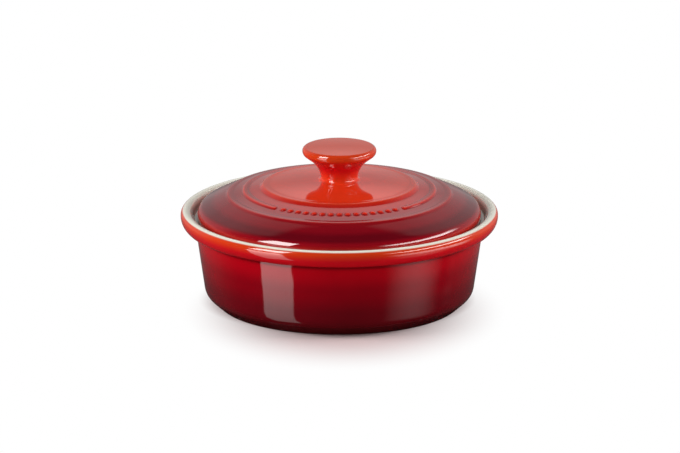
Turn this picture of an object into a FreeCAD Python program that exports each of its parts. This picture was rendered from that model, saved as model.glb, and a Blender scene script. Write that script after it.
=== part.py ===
import FreeCAD, Part
import math
import os

import Sketcher

# Round stoneware baker for one small soft cheese, with a lid that drops into the rim.
# Millimetres, +Z up. The origin is the middle of the foot, on the surface the dish stands on.
# The front is where the lid's middle ring breaks off and a row of pearls takes its place.

# Driving dimensions
SIZES = {
    # Dish, outside
    "rim_diameter": 160,
    "dish_height": 48.3,
    "crest_inset": 2.7,
    "crest_drop": 2.6,
    "band_height": 8.7,
    "band_tuck": 3.0,
    "band_flat": 0.5,
    "rim_overhang": 7.5,
    "wall_draft": 8.3,
    "corner_height": 5.9,
    "corner_inset": 6.8,
    "corner_round": 7,
    "groove_round": 0.9,
    "band_round": 0.8,
    # Dish, foot
    "foot_width": 5,
    "foot_recess": 1.2,
    "foot_round": 0.6,
    # Dish, inside
    "wall_thickness": 6,
    "floor_thickness": 6,
    "floor_round": 10,
    "ledge_depth": 5,
    "ledge_round": 1,
    "lip_inset": 4.8,
    "pocket_flare": 2.2,
    "pocket_lip": 0.7,
    "pocket_round": 0.8,
    # Lid, dome
    "lid_clearance": 1.6,
    "lid_height": 21,
    "lid_edge": 2.85,
    "lid_edge_curve": 5.3,
    "shoulder_width": 14,
    "shoulder_slope": 27,
    "shoulder_curve": 130,
    "lid_thickness": 5.2,
    "seat_width": 3.2,
    "seat_round": 0.8,
    "hollow_rise": 2.4,
    "hollow_round": 2,
    # Lid, rings
    "plateau_drop": 2.3,
    "inner_ring_width": 5,
    "inner_ring_step": 1.8,
    "inner_ring_bulge": 0.9,
    "middle_ring_inset": 6,
    "middle_ring_width": 3.6,
    "middle_ring_bulge": 0.75,
    "middle_ring_gap": 87.2,
    "outer_ring_width": 4.2,
    "outer_ring_step": 1.3,
    "outer_ring_bulge": 0.8,
    "slope_width": 13,
    "slope_drop": 3.0,
    "ring_root": 1.2,
    # Lid, pearls in the middle ring's gap
    "pearl_diameter": 3.2,
    "pearl_height": 0.9,
    "pearl_spread": 72.8,
    "pearl_count": 15,
    # Knob
    "knob_height": 17.5,
    "knob_diameter": 37.3,
    "knob_crown": 0.5,
    "knob_edge_curve": 2.1,
    "knob_under_curve": 3,
    "neck_diameter": 18,
    "neck_curve": 14.3,
    "neck_flare": 53.5,
    "neck_root": 2.4,
    "neck_round": 1.8,
}

# Places worked out from the driving dimensions, as radius from the axis or height above the table
PLACES = {
    # Dish, outside
    "rim_radius": "sizes.rim_diameter / 2",
    "crest_radius": "rim_radius - sizes.crest_inset",
    "crest_height": "sizes.dish_height",
    "rim_side_height": "crest_height - sizes.crest_drop",
    "crest_curve": "(sizes.crest_inset ^ 2 + sizes.crest_drop ^ 2) / (2 * sizes.crest_drop)",
    "band_foot_height": "crest_height - sizes.band_height",
    "band_foot_radius": "rim_radius - sizes.band_tuck",
    "band_side": "rim_side_height - band_foot_height - sizes.band_flat",
    "band_side_height": "band_foot_height + band_side",
    "band_curve": "(sizes.band_tuck ^ 2 + band_side ^ 2) / (2 * sizes.band_tuck)",
    "wall_top_radius": "rim_radius - sizes.rim_overhang",
    "wall_rise": "band_foot_height - sizes.corner_height",
    "wall_base_radius": "wall_top_radius - tan(sizes.wall_draft) * wall_rise",
    "wall_base_height": "sizes.corner_height",
    "foot_radius": "wall_base_radius - sizes.corner_inset",
    # Dish, foot
    "foot_inner_radius": "foot_radius - sizes.foot_width",
    "recess_radius": "foot_inner_radius - sizes.foot_recess",
    "recess_height": "sizes.foot_recess",
    # Dish, inside
    "floor_height": "sizes.floor_thickness",
    "ledge_height": "crest_height - sizes.ledge_depth",
    "wall_lean": "tan(sizes.wall_draft)",
    "inner_foot_line": "wall_base_radius - sizes.wall_thickness - wall_lean * wall_base_height",
    "inner_base_radius": "inner_foot_line + wall_lean * floor_height",
    "inner_top_radius": "inner_foot_line + wall_lean * ledge_height",
    "pocket_top_radius": "rim_radius - sizes.lip_inset",
    "pocket_radius": "pocket_top_radius - sizes.pocket_flare",
    "pocket_top_height": "crest_height - sizes.pocket_lip",
    "lip_width": "crest_radius - pocket_top_radius",
    "lip_curve": "(lip_width ^ 2 + sizes.pocket_lip ^ 2) / (2 * sizes.pocket_lip)",
    # Lid, dome
    "lid_radius": "pocket_radius - sizes.lid_clearance",
    "seat_height": "ledge_height",
    "seat_inner_radius": "lid_radius - sizes.seat_round - sizes.seat_width",
    "lid_side_height": "seat_height + sizes.lid_edge",
    "shoulder_radius": "lid_radius - sizes.lid_edge_curve * (1 - sin(sizes.shoulder_slope))",
    "shoulder_height": "lid_side_height + sizes.lid_edge_curve * cos(sizes.shoulder_slope)",
    "outer_foot_radius": "lid_radius - sizes.shoulder_width",
    "outer_crease_radius": "outer_foot_radius - sizes.outer_ring_width",
    "inner_foot_radius": "outer_crease_radius - sizes.slope_width",
    "plateau_radius": "inner_foot_radius - sizes.inner_ring_width",
    "plateau_top": "seat_height + sizes.lid_height",
    "plateau_height": "plateau_top - sizes.plateau_drop",
    "plateau_curve": "(plateau_radius ^ 2 + sizes.plateau_drop ^ 2) / (2 * sizes.plateau_drop)",
    # Lid, rings
    "inner_foot_height": "plateau_height - sizes.inner_ring_step",
    "outer_crease_height": "inner_foot_height - sizes.slope_drop",
    "outer_foot_height": "outer_crease_height - sizes.outer_ring_step",
    "slope_fall": "sizes.slope_drop / sizes.slope_width",
    "row_radius": "outer_crease_radius - sizes.middle_ring_inset",
    "middle_crease_radius": "row_radius - sizes.middle_ring_width / 2",
    "middle_crease_height": "inner_foot_height - slope_fall * (middle_crease_radius - inner_foot_radius)",
    "middle_foot_radius": "middle_crease_radius + sizes.middle_ring_width",
    "middle_foot_height": "middle_crease_height - slope_fall * sizes.middle_ring_width",
    "middle_height": "(middle_crease_height + middle_foot_height) / 2",
    "middle_root_height": "middle_foot_height - sizes.ring_root",
    "inner_ring_chord": "sqrt(sizes.inner_ring_width ^ 2 + sizes.inner_ring_step ^ 2)",
    "inner_ring_curve": "inner_ring_chord ^ 2 / (8 * sizes.inner_ring_bulge) + sizes.inner_ring_bulge / 2",
    "outer_ring_chord": "sqrt(sizes.outer_ring_width ^ 2 + sizes.outer_ring_step ^ 2)",
    "outer_ring_curve": "outer_ring_chord ^ 2 / (8 * sizes.outer_ring_bulge) + sizes.outer_ring_bulge / 2",
    "slope_angle": "atan(slope_fall)",
    "middle_ring_chord": "sizes.middle_ring_width / cos(slope_angle)",
    "middle_ring_curve": "middle_ring_chord ^ 2 / (8 * sizes.middle_ring_bulge) + sizes.middle_ring_bulge / 2",
    "middle_ring_depth": "middle_ring_curve - sizes.middle_ring_bulge",
    "middle_ring_sweep": "360 - sizes.middle_ring_gap",
    "ring_ends": "2",
    # Lid, pearls
    "pearl_curve": "sizes.pearl_diameter ^ 2 / (8 * sizes.pearl_height) + sizes.pearl_height / 2",
    "pearl_depth": "pearl_curve - sizes.pearl_height",
    # Lid, hollow underside
    "hollow_radius": "seat_inner_radius - sizes.hollow_rise / 2",
    "hollow_height": "seat_height + sizes.hollow_rise",
    "hollow_step_radius": "plateau_radius",
    "hollow_step_height": "plateau_height - sizes.lid_thickness",
    "hollow_top": "plateau_top - sizes.lid_thickness",
    "hollow_curve": "plateau_curve - sizes.lid_thickness",
    # Knob
    "knob_radius": "sizes.knob_diameter / 2",
    "knob_top": "plateau_top + sizes.knob_height",
    "knob_top_edge": "knob_top - sizes.knob_crown",
    "knob_flat_radius": "knob_radius - sizes.knob_edge_curve",
    "knob_crown_curve": "(knob_flat_radius ^ 2 + sizes.knob_crown ^ 2) / (2 * sizes.knob_crown)",
    "knob_side_height": "knob_top_edge - sizes.knob_edge_curve",
    "under_radius": "knob_radius - sizes.knob_under_curve * (1 - cos(sizes.neck_flare))",
    "under_height": "knob_side_height - sizes.knob_under_curve * sin(sizes.neck_flare)",
    "neck_radius": "sizes.neck_diameter / 2",
    "flare_radius": "neck_radius + sizes.neck_curve * (1 - cos(sizes.neck_flare))",
    "flare_height": "under_height - (under_radius - flare_radius) / tan(sizes.neck_flare)",
    "neck_height": "flare_height - sizes.neck_curve * sin(sizes.neck_flare)",
    "neck_root_height": "plateau_top - sizes.neck_root",
    "neck_dip": "max(0; plateau_top - neck_height)",
    "neck_foot_radius": "neck_radius + sizes.neck_curve - sqrt(sizes.neck_curve ^ 2 - neck_dip ^ 2)",
}

FRONT = 270  # degrees round from +X, so the front faces -Y
ON_AXIS = ""
ON_GROUND = ""
HOLLOW = True

document = FreeCAD.newDocument("camembert_baker")


def write_sheet(name, cells, sign=""):
    """Put each name in column A and its content, with the name as its alias, in column B."""
    sheet = document.addObject("Spreadsheet::Sheet", name)
    for row, (alias, content) in enumerate(cells.items(), start=1):
        sheet.set(f"A{row}", alias)
        sheet.set(f"B{row}", f"{sign}{content}")
        sheet.setAlias(f"B{row}", alias)
    document.recompute()
    return sheet


sizes = write_sheet("sizes", SIZES)
places = write_sheet("places", PLACES, "=")


def cell(name):
    """Say which sheet a name is in, the way a formula does."""
    return f"sizes.{name}" if name in SIZES else f"places.{name}"


def value(name):
    """Read a named size or place, where the axis and the ground are nought."""
    if not name:
        return 0.0
    return float((sizes if name in SIZES else places).get(name))


def origin_feature(body, role):
    """Find one of a body's own origin planes or axes."""
    return next(feature for feature in body.Origin.OriginFeatures if feature.Role == role)


def arc_between(start, end, radius, hollow):
    """Make an arc that bulges to the right of its run, or to the left where it is hollow."""
    chord = end - start
    outwards = FreeCAD.Vector(chord.y, -chord.x, 0).normalize()
    if hollow:
        outwards = outwards.negative()
    rise = radius - math.sqrt(radius**2 - (chord.Length / 2) ** 2)
    return Part.Arc(start, start + chord / 2 + outwards * rise, end)


def tie(sketch, constraint, name, place):
    """Add a dimension to a sketch and bind it to a named size or place."""
    index = sketch.addConstraint(constraint)
    sketch.renameConstraint(index, name)
    sketch.setExpression(f"Constraints.{name}", cell(place))


def draw_section(body, name, corners, role="XZ_Plane"):
    """Draw a closed half section, anticlockwise.

    Each corner is a radius and a height. Where an arc runs on from it, the arc's radius
    follows, and HOLLOW where the arc is concave.
    """
    sketch = body.newObject("Sketcher::SketchObject", name)
    sketch.AttachmentSupport = [(origin_feature(body, role), "")]
    sketch.MapMode = "FlatFace"
    points = [FreeCAD.Vector(value(corner[0]), value(corner[1]), 0) for corner in corners]
    starts = []
    for number, corner in enumerate(corners):
        start = points[number]
        end = points[(number + 1) % len(corners)]
        hollow = HOLLOW in corner[3:]
        if len(corner) > 2:
            sketch.addGeometry(arc_between(start, end, value(corner[2]), hollow), False)
        else:
            sketch.addGeometry(Part.LineSegment(start, end), False)
        # An arc always runs anticlockwise about its own middle, so a hollow one is met tail first
        starts.append(2 if hollow else 1)
    for number in range(len(corners)):
        following = (number + 1) % len(corners)
        end = 3 - starts[number]
        sketch.addConstraint(
            Sketcher.Constraint("Coincident", number, end, following, starts[following])
        )
    for number, corner in enumerate(corners):
        point = (number, starts[number])
        if corner[0] == ON_AXIS:
            sketch.addConstraint(Sketcher.Constraint("PointOnObject", *point, -2))
        else:
            across = Sketcher.Constraint("DistanceX", -1, 1, *point, value(corner[0]))
            tie(sketch, across, f"radius_{number}", corner[0])
        if corner[1] == ON_GROUND:
            sketch.addConstraint(Sketcher.Constraint("PointOnObject", *point, -1))
        else:
            upwards = Sketcher.Constraint("DistanceY", -1, 1, *point, value(corner[1]))
            tie(sketch, upwards, f"height_{number}", corner[1])
        if len(corner) > 2:
            curve = Sketcher.Constraint("Radius", number, value(corner[2]))
            tie(sketch, curve, f"curve_{number}", corner[2])
    document.recompute()
    return sketch


def revolve(body, name, sketch, sweep=""):
    """Turn a half section about the upright axis, all the way round or by a named sweep."""
    turned = body.newObject("PartDesign::Revolution", name)
    turned.Profile = sketch
    turned.ReferenceAxis = (sketch, ["V_Axis"])
    turned.Angle = 360
    if sweep:
        turned.Midplane = True
        turned.setExpression("Angle", cell(sweep))
    document.recompute()
    return turned


def rings_at(feature, radius, height, reach):
    """Find the level edges that run round the upright axis at a named radius and height."""
    found = []
    for number, edge in enumerate(feature.Shape.Edges, start=1):
        box = edge.BoundBox
        off_radius = abs(box.XMax - value(radius))
        off_height = max(abs(box.ZMax - value(height)), abs(box.ZMin - value(height)))
        if max(off_radius, off_height) < reach:
            found.append(f"Edge{number}")
    return found


def round_ring(body, name, radius, height, size, reach=0.02):
    """Round the edges at a named radius and height."""
    base = body.Tip
    rounded = body.newObject("PartDesign::Fillet", name)
    rounded.Base = (base, rings_at(base, radius, height, reach))
    rounded.setExpression("Radius", cell(size))
    document.recompute()
    return rounded


def dome_row(body, name, curve, depth, spread, count):
    """Stand a row of domes on the lid's slope, centred on the front.

    Each dome is half a ball whose middle lies the named depth under the slope, square to it.
    """
    ball = body.newObject("PartDesign::AdditiveSphere", name)
    ball.AttachmentSupport = [(origin_feature(body, "XY_Plane"), "")]
    ball.MapMode = "FlatFace"
    ball.Angle1 = 0
    ball.setExpression("Radius", cell(curve))
    radius = f"(places.row_radius - sin(places.slope_angle) * {cell(depth)})"
    height = f"places.middle_height - cos(places.slope_angle) * {cell(depth)}"
    start = f"({FRONT} - {cell(spread)} / 2)"
    ball.setExpression("AttachmentOffset.Base.x", f"{radius} * cos({start})")
    ball.setExpression("AttachmentOffset.Base.y", f"{radius} * sin({start})")
    ball.setExpression("AttachmentOffset.Base.z", height)
    document.recompute()
    row = body.newObject("PartDesign::PolarPattern", f"{name}_row")
    row.Originals = [ball]
    row.Axis = (origin_feature(body, "Z_Axis"), [""])
    row.setExpression("Angle", cell(spread))
    row.setExpression("Occurrences", cell(count))
    body.Tip = row
    document.recompute()
    return row


def make_dish():
    """Build the dish, one piece with its banded rim, the ledge for the lid and the foot ring."""
    body = document.addObject("PartDesign::Body", "dish")
    section = draw_section(
        body,
        "dish_section",
        [
            (ON_AXIS, "recess_height"),
            ("recess_radius", "recess_height"),
            ("foot_inner_radius", ON_GROUND),
            ("foot_radius", ON_GROUND),
            ("wall_base_radius", "wall_base_height"),
            ("wall_top_radius", "band_foot_height"),
            ("band_foot_radius", "band_foot_height", "band_curve"),
            ("rim_radius", "band_side_height"),
            ("rim_radius", "rim_side_height", "crest_curve"),
            ("crest_radius", "crest_height", "lip_curve"),
            ("pocket_top_radius", "pocket_top_height"),
            ("pocket_radius", "ledge_height"),
            ("inner_top_radius", "ledge_height"),
            ("inner_base_radius", "floor_height"),
            (ON_AXIS, "floor_height"),
        ],
    )
    revolve(body, "dish_turned", section)
    round_ring(body, "corner", "wall_base_radius", "wall_base_height", "corner_round")
    round_ring(body, "foot_outer_edge", "foot_radius", ON_GROUND, "foot_round")
    round_ring(body, "foot_inner_edge", "foot_inner_radius", ON_GROUND, "foot_round")
    round_ring(body, "groove", "wall_top_radius", "band_foot_height", "groove_round")
    round_ring(body, "band_edge", "band_foot_radius", "band_foot_height", "band_round")
    round_ring(body, "pocket_corner", "pocket_radius", "ledge_height", "pocket_round")
    round_ring(body, "ledge_edge", "inner_top_radius", "ledge_height", "ledge_round")
    round_ring(body, "floor_corner", "inner_base_radius", "floor_height", "floor_round")
    return body


def make_lid():
    """Build the lid, one piece with its rings, its pearls and its knob."""
    body = document.addObject("PartDesign::Body", "lid")
    shell = draw_section(
        body,
        "lid_section",
        [
            (ON_AXIS, "hollow_top", "hollow_curve", HOLLOW),
            ("hollow_step_radius", "hollow_step_height", "shoulder_curve", HOLLOW),
            ("hollow_radius", "hollow_height"),
            ("seat_inner_radius", "seat_height"),
            ("lid_radius", "seat_height"),
            ("lid_radius", "lid_side_height", "lid_edge_curve"),
            ("shoulder_radius", "shoulder_height", "shoulder_curve"),
            ("outer_foot_radius", "outer_foot_height", "outer_ring_curve"),
            ("outer_crease_radius", "outer_crease_height"),
            ("inner_foot_radius", "inner_foot_height", "inner_ring_curve"),
            ("plateau_radius", "plateau_height", "plateau_curve"),
            (ON_AXIS, "plateau_top"),
        ],
    )
    revolve(body, "lid_turned", shell)
    ring = draw_section(
        body,
        "middle_ring_section",
        [
            ("middle_crease_radius", "middle_root_height"),
            ("middle_foot_radius", "middle_root_height"),
            ("middle_foot_radius", "middle_foot_height", "middle_ring_curve"),
            ("middle_crease_radius", "middle_crease_height"),
        ],
        role="YZ_Plane",
    )
    revolve(body, "middle_ring", ring, sweep="middle_ring_sweep")
    dome_row(body, "ring_end", "middle_ring_curve", "middle_ring_depth", "middle_ring_gap", "ring_ends")
    dome_row(body, "pearl", "pearl_curve", "pearl_depth", "pearl_spread", "pearl_count")
    knob = draw_section(
        body,
        "knob_section",
        [
            (ON_AXIS, "neck_root_height"),
            ("neck_radius", "neck_root_height"),
            ("neck_radius", "neck_height", "neck_curve", HOLLOW),
            ("flare_radius", "flare_height"),
            ("under_radius", "under_height", "knob_under_curve"),
            ("knob_radius", "knob_side_height", "knob_edge_curve"),
            ("knob_flat_radius", "knob_top_edge", "knob_crown_curve"),
            (ON_AXIS, "knob_top"),
        ],
    )
    revolve(body, "knob", knob)
    round_ring(body, "neck_foot", "neck_foot_radius", "plateau_top", "neck_round", reach=0.4)
    round_ring(body, "seat_edge", "lid_radius", "seat_height", "seat_round")
    round_ring(body, "hollow_corner", "hollow_radius", "hollow_height", "hollow_round")
    return body


def check(parts):
    """Stop where a feature has failed or a piece is not one sound solid."""
    for feature in document.Objects:
        faults = {"Invalid", "Error"} & set(feature.State)
        if faults:
            raise RuntimeError(f"{feature.Label}: {faults}")
    for part in parts:
        shape = part.Shape
        if shape.isNull() or not shape.isValid() or len(shape.Solids) != 1:
            raise RuntimeError(f"{part.Label} is not one sound solid")


def main():
    """Build both pieces, check them and write each to its own file."""
    parts = [make_dish(), make_lid()]
    document.recompute()
    check(parts)
    os.makedirs("parts", exist_ok=True)
    for part in parts:
        box = part.Shape.optimalBoundingBox()
        print(
            f"{part.Label}: {box.XLength:.2f} x {box.YLength:.2f} x {box.ZLength:.2f} mm, "
            f"z {box.ZMin:.2f} to {box.ZMax:.2f}, volume {part.Shape.Volume:.0f} mm3"
        )
        part.Shape.exportStep(f"parts/{part.Label}.step")


main()
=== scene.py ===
"""Round stoneware baker for a small soft cheese, with its glazes, its setting and the lamps.

The dish and the lid are turned from half sections, in metres, about the upright axis. The front,
where a row of pearls takes the place of the lid's middle ring, faces -Y.
"""

import math
from collections import namedtuple
from functools import partial, reduce
from itertools import pairwise

import bpy
import numpy as np
from mathutils import Matrix, Vector


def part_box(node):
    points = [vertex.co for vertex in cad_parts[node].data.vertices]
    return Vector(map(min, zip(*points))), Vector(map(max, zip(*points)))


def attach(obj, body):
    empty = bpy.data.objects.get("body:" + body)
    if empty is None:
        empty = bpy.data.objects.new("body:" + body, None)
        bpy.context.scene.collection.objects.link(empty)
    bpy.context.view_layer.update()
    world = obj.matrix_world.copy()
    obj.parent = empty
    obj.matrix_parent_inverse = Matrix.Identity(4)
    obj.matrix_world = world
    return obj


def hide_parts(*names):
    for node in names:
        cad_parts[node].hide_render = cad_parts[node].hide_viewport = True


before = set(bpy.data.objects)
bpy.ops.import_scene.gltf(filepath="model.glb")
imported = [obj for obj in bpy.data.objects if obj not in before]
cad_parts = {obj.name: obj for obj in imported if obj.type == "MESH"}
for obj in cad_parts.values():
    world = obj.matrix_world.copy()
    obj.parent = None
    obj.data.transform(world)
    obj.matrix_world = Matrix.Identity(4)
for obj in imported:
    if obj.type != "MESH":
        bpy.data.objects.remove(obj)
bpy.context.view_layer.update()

bl_info = {
    "name": "Camembert baker",
    "version": (1, 0, 0),
    "blender": (4, 5, 0),
    "location": "3D View > Sidebar > Baker",
    "description": "Models and glazes a small lidded stoneware baker",
    "category": "Add Mesh",
}

MM = 0.001
DISH_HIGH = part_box("dish")[1]
LID_LOW, LID_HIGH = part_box("lid")

# How finely the sections are drawn, and turned round the axis in degrees or steps
LONGEST_STEP = 2.5 * MM
FINE_STEP = 0.3 * MM
SHOULDER_STEP = 1.2 * MM
ARC_STEP = math.radians(7)
BEND_STEP = math.radians(12)
SAME_PLACE = 0.001 * MM
DISH_STEPS = 320
FINE_FRONT = 93
FINE_TURN = 0.33
BACK_TURN = 1.5

# Where one glaze meets the other or the bare clay
RED_EDGE = 1.3 * MM
BLUR = 0.5 * MM
FLOOR_MARGIN = 0.3 * MM
FOOT_WIPE = 0.05 * MM
SEAT_WIPE = 0.1 * MM
LID_RED_FOOT = 0.4 * MM
UNDERSIDE_FALL = 7

# How far the marks of thin and pooled glaze soften, and how sharp a bend makes each in full
SOFTENINGS = 6
RED_BENDS = {"Thin_at": 0.45, "Pooled_at": -0.4}
CREAM_BENDS = {"Thin_at": 0.3, "Pooled_at": -0.3}
DISH_POOL = 0.35
LID_POOL = 0.15

# Where the red changes on the dish's wall: shares of its height, then below the band's foot. The
# red darkens down the wall by its own gradient and by painted shade near the foot, and a painted
# shade darkens the groove under the band's overhang
LOW_WALL = 0.3
MIDDLE_WALL = 0.6
UNDER_BAND = 3.2 * MM
GROOVE_SHADE_FOOT = 2 * MM
GROOVE_SHADE_TOP = 0.3 * MM

# Where a painted shade darkens the cream round the ledge, in the gap under the lid's edge, and how
# the red changes on the lid's edge
LEDGE_SHADE_CORE = 0.5 * MM
LEDGE_SHADE_ABOVE = 4 * MM
LEDGE_SHADE_BELOW = 2 * MM
EDGE_LIFT = 0.6 * MM
EDGE_LINE = 0.1 * MM

# Patterns of the fired surface: how many to a metre and how detailed, where each starts and is
# full, and how much it shows
WAVE_NOISE = (55.0, 1.0)
GRAIN_NOISE = (900.0, 2.0)
CLOUD_NOISE = (28.0, 3.0)
MOTTLE_NOISE = (1600.0, 1.0)
SPECK_CELLS = 750.0
SPECK_RANGE = (0.32, 0.12)
CLOUD_RANGE = (0.35, 0.65)
MOTTLE_RANGE = (0.48, 0.68)
WAVES = 0.2 * MM
GRAIN = 0.0008 * MM
MOTTLE = 0.05
CLOUD = 0.08
SPECKS = 0.25
GLAZE_ROUGHNESS = 0.06
CLAY_ROUGHNESS = 0.85

# The floor's shadow, partly cast by the lamps and partly painted, as the floor is darker and pinker
# near the dish: how far from the axis it is whole and gone, with its form and its tint
SHADOW_CORE = 40 * MM
SHADOW_REACH = 108 * MM
CONTACT_CORE = 56 * MM
CONTACT_REACH = 74 * MM
SHADOW_SHIFT = (-3 * MM, 20 * MM, 0)
SHADOW_STRETCH = (1.3, 1, 1)
SHADOW_TINT = (0.56, 0.43, 0.43)

# The floor in the gloss: its polish, and a painted shade that makes it mirror less near the dish
POLISH = {"Roughness": 0.04, "IOR": 1.9}
DARK = (0.01, 0.01, 0.01)
PALE = (0.6, 0.6, 0.6)
GLOSS_SHADE_CORE = 75 * MM
GLOSS_SHADE_REACH = 125 * MM
GLOSS_SHADE = 0.38

# The backdrop in the gloss: how high it is gone and full, and its share
BEHIND = (0.0, 0.6)
BACKDROP = ((0.856, 0.815, 0.6), (0.86, 0.62, 0.4))
BACKDROP_LEVEL = 0.48
BACK_BOX_WIDTH = (0.22, 0.10)
BACK_BOX_FOOT = (0.26, 0.50)
BACK_BOX_TOP = (0.77, 0.73)
BACK_BOX_LEVEL = 0.6
FILL_LEVEL = 0.42
FIRST_BOUNCE = 1.5

# The softboxes in the gloss, in degrees left of the front. A box is gone at its wide half width
# and full at its narrow one. Its foot and top say how high a direction points
Softbox = namedtuple("Softbox", "level azimuth wide narrow foot_gone foot_full top_full top_gone")
STRIP = Softbox(18.5, 56, 14.8, 14.2, 0.05, 0.07, 0.76, 0.78)
STREAK = Softbox(15.0, -75, 42, 17, 0.14, 0.30, 0.32, 0.45)
PANEL = Softbox(6.2, -69, 31, 0, 0.16, 0.54, 0.56, 0.78)
LOW_STRIP = Softbox(18.5, 56, 14.8, 14.2, 0.29, 0.32, 0.76, 0.78)
LOW_STREAK = Softbox(15.0, -77, 46, 19, 0.28, 0.38, 0.44, 0.58)
SIDE_FADE = 0.05

# The fill lamps: degrees left of the front, degrees up, distance and radiance
FILLS = {
    "fill_left": (85, 22, 2.0, 14.0),
    "fill_right": (-95, 22, 2.0, 12.4),
    "fill_front": (0, 12, 2.2, 4.2),
}
FILL_SIDE = 1.0
LAMP_AIM = 40 * MM

BLACK = (0, 0, 0, 1)
WHITE = (1, 1, 1, 1)


def length(name, description, millimetres):
    """A size that a user can change, given in millimetres and kept in metres."""
    return bpy.props.FloatProperty(
        name=name, description=description, default=millimetres * MM, unit="LENGTH", precision=5
    )


def angle(name, description, degrees):
    """An angle that a user can change, given in degrees and kept in radians."""
    return bpy.props.FloatProperty(
        name=name, description=description, default=math.radians(degrees), subtype="ANGLE"
    )


def colour(name, description, red, green, blue):
    """A linear colour that a user can change."""
    return bpy.props.FloatVectorProperty(
        name=name, description=description, default=(red, green, blue), subtype="COLOR", min=0, max=1
    )


class DishSizes(bpy.types.PropertyGroup):
    """The dish's half section."""

    rim_radius: length("Rim radius", "Axis to the outside of the band", DISH_HIGH.x / MM)
    height: length("Height", "Table to the top of the rim", DISH_HIGH.z / MM)
    crest_inset: length("Crest inset", "Band's side to the rim's highest line", 2.7)
    crest_drop: length("Crest drop", "Rim's highest line down to the band's side", 2.6)
    band_height: length("Band height", "Rim's highest line down to the band's foot", 8.7)
    band_tuck: length("Band tuck", "How far the band draws in towards its foot", 3.0)
    band_flat: length("Band flat", "Upright stretch of the band's side", 0.5)
    rim_overhang: length("Rim overhang", "How far the band stands out from the wall", 7.5)
    wall_draft: angle("Wall draft", "Lean of the wall from upright", 8.3)
    corner_height: length("Corner height", "Table to where the wall turns in", 5.9)
    corner_inset: length("Corner inset", "Wall's foot in to the foot ring", 6.8)
    corner_round: length("Corner round", "Rounding between wall and base", 7)
    foot_width: length("Foot width", "Width of the foot ring", 5)
    foot_recess: length("Foot recess", "Depth of the recess in the foot ring", 1.2)
    foot_round: length("Foot round", "Rounding of the foot ring's edges", 0.6)
    groove_round: length("Groove round", "Rounding in the groove under the band", 0.9)
    band_round: length("Band round", "Rounding of the band's lower edge", 0.8)
    wall: length("Wall", "Thickness of the wall", 6)
    floor: length("Floor", "Thickness of the floor", 6)
    floor_round: length("Floor round", "Rounding between floor and wall inside", 10)
    ledge_depth: length("Ledge depth", "Rim's highest line down to the ledge", 5)
    ledge_round: length("Ledge round", "Rounding of the ledge's inner edge", 1)
    lip_inset: length("Lip inset", "Band's side in to the pocket for the lid", 4.8)
    lip_drop: length("Lip drop", "Rim's highest line down to the pocket's edge", 0.7)
    lip_round: length("Lip round", "Rounding of the pocket's edge", 0.6)
    pocket_flare: length("Pocket flare", "How far the pocket opens towards its edge", 2.2)
    pocket_round: length("Pocket round", "Rounding in the pocket's corner", 0.8)


class LidSizes(bpy.types.PropertyGroup):
    """The lid's half section, its rings and its row of pearls."""

    radius: length("Radius", "Axis to the lid's edge", LID_HIGH.x / MM)
    seat: length("Seat", "Height of the seat on the dish's ledge", LID_LOW.z / MM)
    rise: length("Rise", "Seat up to the middle of the plateau", 21)
    edge: length("Edge", "Height of the lid's upright edge", 2.85)
    edge_curve: length("Edge curve", "Radius between the edge and the shoulder", 5.3)
    shoulder_width: length("Shoulder width", "Lid's edge in to the outer ring", 14)
    shoulder_slope: angle("Shoulder slope", "Lean of the shoulder at its outer end", 27)
    shoulder_curve: length("Shoulder curve", "Radius of the shoulder's bulge", 130)
    thickness: length("Thickness", "Thickness of the lid's shell", 5.2)
    seat_width: length("Seat width", "Width of the seat", 3.2)
    seat_round: length("Seat round", "Rounding of the edge at the seat", 0.8)
    hollow_rise: length("Hollow rise", "Height of the step inside the seat", 2.4)
    hollow_round: length("Hollow round", "Rounding inside the seat", 2)
    plateau_drop: length("Plateau drop", "Crown of the plateau", 2.3)
    inner_width: length("Inner ring width", "Width of the inner ring", 5)
    inner_step: length("Inner ring step", "Fall across the inner ring", 1.8)
    inner_lip: length("Inner ring lip", "Height of the inner ring's outer edge", 1.5)
    inner_lean: length("Inner ring lean", "How far that edge leans in", 1.75)
    slope_width: length("Slope width", "Width between the inner and outer rings", 13)
    slope_drop: length("Slope drop", "Fall between the inner and outer rings", 3)
    outer_width: length("Outer ring width", "Width of the outer ring", 4.2)
    outer_step: length("Outer ring step", "Fall across the outer ring", 1.3)
    outer_lip: length("Outer ring lip", "Height of the outer ring's outer edge", 0.95)
    outer_lean: length("Outer ring lean", "How far that edge leans in", 1.15)
    lip_round: length("Ring lip round", "Rounding of a ring's outer edge", 0.95)
    ring_curve: length("Ring curve", "Radius of a ring's top", 9)
    crease_round: length("Crease round", "How far the glaze fills the rings' creases", 0.9)
    middle_inset: length("Middle ring inset", "Outer ring in to the middle ring's line", 6)
    middle_width: length("Middle ring width", "Width of the middle ring", 3.6)
    middle_bulge: length("Middle ring bulge", "How far the middle ring stands out", 0.7)
    middle_lean: length("Middle ring lean", "How far the middle ring's crest lies outwards", 0.8)
    middle_gap: angle("Middle ring gap", "Sweep between the middle ring's ends", 87.2)
    pearl_width: length("Pearl width", "Width of a pearl", 3.2)
    pearl_height: length("Pearl height", "How far a pearl stands out", 0.9)
    pearl_spread: angle("Pearl spread", "Sweep from the first pearl to the last", 72.8)
    pearl_count: bpy.props.IntProperty(name="Pearls", description="Pearls in the row", default=15)
    relief_melt: length("Relief melt", "How far the glaze fills the foot of ring and pearls", 0.3)


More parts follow.
